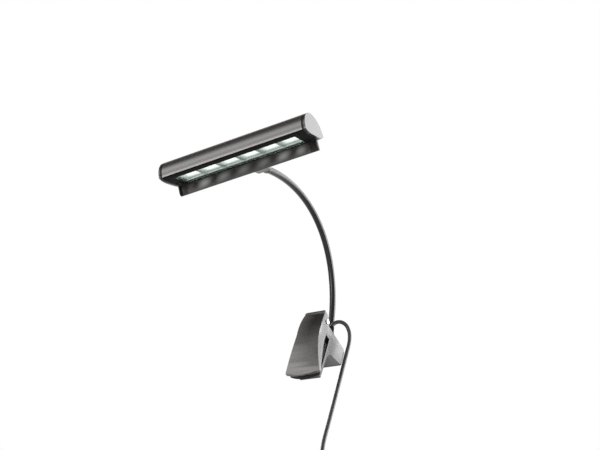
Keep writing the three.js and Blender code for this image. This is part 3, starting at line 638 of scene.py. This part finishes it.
refined("base_block", CLIP_PAINT, 0.5, 4)
refined("rear_cover", CLIP_PAINT, 0.35)
refined("front_jaw", CLIP_PAINT, 0.35, 4, flat_sides=False)
refined("front_pad", RUBBER, 0.2)
refined("rear_pad", RUBBER, 0.2)
refined("hinge_pin", STEEL, 0.4, 4)
refined("wire_board", BOARD, 0.1, 2)
for index, x in enumerate((-7.9, 7.9), 1):
    place = placed(mm(x, 35.4, 29), Vector((0, 1, 0)))
    pan_head(f"cover_screw_{index}_head", f"cover_screw_{index}", place, 2.0, 1.2, 0.8, 8.0, "clip_base")


def make_spring():
    """The torsion spring's coil on the base and its front leg on the jaw."""
    y, z, radius, half, turns, wire = -6.5, 37.0, 2.35, 3.1, 5, 0.45
    steps = 100
    coil = []
    for i in range(steps + 1):
        share = i / steps
        angle = 2 * math.pi * (turns * share + 0.3)
        coil.append((half * (2 * share - 1), y + radius * math.cos(angle), z + radius * math.sin(angle)))
    piece = curve_through("spring_wire_coil", coil, wire)
    finish(piece, STEEL)
    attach(piece, "clip_base")
    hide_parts("spring_coil")
    side = [(3.4, y - 2.6, z + 3.6), (3.4, y - 2.4, z + 5.4), (3.4, y - 2.1, z + 7.4)]
    leg = curve_through("spring_wire_leg", side, wire)
    finish(leg, STEEL)
    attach(leg, "front_jaw")
    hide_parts("spring_leg")


make_spring()

# ------------------------------------------------------------------ lead's fittings

def make_gland():
    """A tapered strain relief with rings cut into it."""
    foot = 37.7
    profile = [(2.1, foot - 6), (2.1, foot), (3.3, foot), (3.5, foot + 0.2), (3.5, foot + 1.2),
               (3.3, foot + 1.4)]
    height = foot + 1.4
    radius = 3.0
    for _ in range(4):
        profile += [(radius, height + 0.1), (radius, height + 0.9), (radius - 0.12, height + 1.0),
                    (radius - 0.5, height + 1.05), (radius - 0.5, height + 1.4),
                    (radius - 0.12, height + 1.45)]
        height += 1.5
        radius -= 0.17
    profile += [(2.4, 45.2), (2.25, 45.4), (1.85, 45.4)]
    piece = turned("strain_relief", profile, Matrix.Translation(mm(6.5, 9.5, 0)), 40)
    finish(piece, RUBBER)
    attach(piece, "clip_base")
    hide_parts("cord_gland")


make_gland()
CORD_END = CORD_POINTS[-1]


def make_plug():
    """A barrel plug: a ribbed grip that tapers to the lead, and a plated sleeve with its insulator."""
    top = PLUG_TOP
    profile = [(3.2, top - 18), (4.3, top - 18), (4.6, top - 17.7), (4.7, top - 17.2)]
    for i in range(1, 9):
        height = top - 17.2 + i * 1.15
        profile += [(4.7, height - 0.35), (4.42, height - 0.2), (4.42, height), (4.7, height + 0.15)]
    profile += [(4.7, top - 7.6), (4.4, top - 7.0), (3.7, top - 6.0)]
    radius = 3.4
    for i in range(4):
        height = top - 5.6 + i * 1.3
        profile += [(radius, height), (radius, height + 0.75), (radius - 0.45, height + 0.85),
                    (radius - 0.45, height + 1.15)]
        radius -= 0.28
    profile += [(2.3, top - 0.3), (2.1, top), (1.85, top)]
    place = Matrix.Translation(Vector((CORD_END[0] * MM, CORD_END[1] * MM, 0)))

    def flats(angle, height):
        """Two flat sides on the grip."""
        if height > top - 7.5:
            return 1.0
        return min(1.0, 0.86 / max(abs(math.sin(angle)), 0.001))

    grip = turned("plug_handle", profile, place, 48, flats)
    finish(grip, RUBBER)
    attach(grip, "clip_base")
    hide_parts("plug_grip")
    high = top - 18.1
    sleeve = [(1.9, high - 8.6), (1.9, high - 10.9), (2.0, high - 11.2), (2.6, high - 11.3),
              (2.75, high - 11.1), (2.75, high - 2.4), (2.6, high - 2.2), (2.6, high - 1.8),
              (2.75, high - 1.6), (2.75, high), (0.4, high)]
    barrel = turned("plug_sleeve", sleeve, place, 40)
    finish(barrel, NICKEL)
    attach(barrel, "clip_base")
    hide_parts("plug_barrel")
    inner = [(1.2, high - 3.0), (1.2, high - 10.6), (1.3, high - 10.8), (1.85, high - 10.8),
             (1.85, high - 8.8), (1.2, high - 3.0)]
    insulator = turned("plug_insulator", inner, place, 32)
    finish(insulator, MOULDED)
    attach(insulator, "clip_base")
    return grip, barrel, insulator


PLUG_PIECES = make_plug()


TIE_SECTION = [(-2.9, 0.1), (-2.75, 0.0), (2.75, 0.0), (2.9, 0.1), (2.9, 0.4), (2.75, 0.5), (-2.75, 0.5),
               (-2.9, 0.4)]


def make_tie():
    """A soft band wound twice round the coil, with its end tucked over."""
    cx, cy, cz = COIL_CENTRE
    sides = 56
    rings = []
    for j in range(2 * sides + 1):
        turn = j / sides
        angle = 2 * math.pi * turn
        grow = 0.55 * turn
        radial, axial = 8.35 + grow, 7.5 + grow
        ring = []
        for across, thick in TIE_SECTION:
            ring.append(mm(cx + across, cy + (axial + thick) * math.cos(angle),
                           cz + COIL_MIDDLE + (radial + thick) * math.sin(angle)))
        rings.append(ring)
    band = sweep("tie_band", rings)
    finish(band, RUBBER)
    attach(band, "clip_base")
    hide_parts("cord_tie")
    return band


TIE = make_tie()
finish(lead, SHEATH)
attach(lead, "clip_base")
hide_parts("cord_run", "cord_coil", "cord_tail")

# ------------------------------------------------------------------ floor, backdrop and light

def floor_paper():
    material = bpy.data.materials.new("floor")
    material.use_nodes = True
    shader = material.node_tree.nodes["Principled BSDF"]
    shader.inputs["Base Color"].default_value = (0.93, 0.93, 0.925, 1)
    shader.inputs["Roughness"].default_value = 0.9
    return material


def make_stage():
    size, level, sides = 60.0, -0.85, 96
    rim = [(size * math.cos(2 * math.pi * i / sides), size * math.sin(2 * math.pi * i / sides), level)
           for i in range(sides)]
    floor = mesh_object("floor", rim, [tuple(range(sides))], smooth=False)
    floor.data.materials.append(floor_paper())


def softbox(name, place, toward, width, height, watts, colour=(1, 1, 1)):
    data = bpy.data.lights.new(name, "AREA")
    data.shape = "RECTANGLE"
    data.size, data.size_y = width, height
    data.energy = watts
    data.color = colour
    obj = link(bpy.data.objects.new(name, data))
    obj.location = place
    obj.rotation_euler = (Vector(toward) - Vector(place)).to_track_quat("-Z", "Y").to_euler()


def make_light():
    """A pale studio all round: shaded high in front, with soft boxes low in front and high behind."""
    world = bpy.data.worlds.new("studio")
    bpy.context.scene.world = world
    world.use_nodes = True
    nodes, links = world.node_tree.nodes, world.node_tree.links
    where = nodes.new("ShaderNodeTexCoord")

    def patch(direction, start, end, low, high):
        """A strength that goes from low to high between two angles, in degrees, from a direction."""
        dot = nodes.new("ShaderNodeVectorMath")
        dot.operation = "DOT_PRODUCT"
        dot.inputs[1].default_value = Vector(direction).normalized()
        links.new(where.outputs["Generated"], dot.inputs[0])
        ramp = nodes.new("ShaderNodeMapRange")
        ramp.interpolation_type = "SMOOTHSTEP"
        ramp.inputs["From Min"].default_value = math.cos(math.radians(end))
        ramp.inputs["From Max"].default_value = math.cos(math.radians(start))
        ramp.inputs["To Min"].default_value = high
        ramp.inputs["To Max"].default_value = low
        links.new(dot.outputs["Value"], ramp.inputs["Value"])
        return ramp.outputs["Result"]

    strength = patch((-0.46, -0.38, 0.80), 14, 36, 0.06, 1.0)
    shaded = patch((0.52, -0.45, 0.71), 8, 26, 0.15, 1.0)
    bright = patch((-0.40, -0.90, -0.06), 12, 42, 3.8, 1.0)
    for other in (shaded, bright):
        both = nodes.new("ShaderNodeMath")
        both.operation = "MULTIPLY"
        links.new(strength, both.inputs[0])
        links.new(other, both.inputs[1])
        strength = both.outputs["Value"]
    links.new(strength, nodes["Background"].inputs["Strength"])
    nodes["Background"].inputs["Color"].default_value = (1.0, 1.0, 1.0, 1)
    head = (0.01, -0.19, 0.05)
    softbox("front_low", (-0.27, -1.20, -0.58), head, 0.9, 0.6, 14, (1.0, 0.965, 0.95))
    softbox("left_edge", (-1.0, 0.25, 0.85), (0.0, -0.01, 0.02), 0.5, 0.5, 5)
    softbox("right_side", (1.08, 0.60, 0.51), (0.01, -0.05, 0.15), 0.6, 1.0, 25)
    softbox("right_high", (0.45, 0.75, 1.05), head, 1.1, 1.1, 9.2)


make_stage()
make_light()
bpy.context.scene.view_settings.view_transform = "Standard"
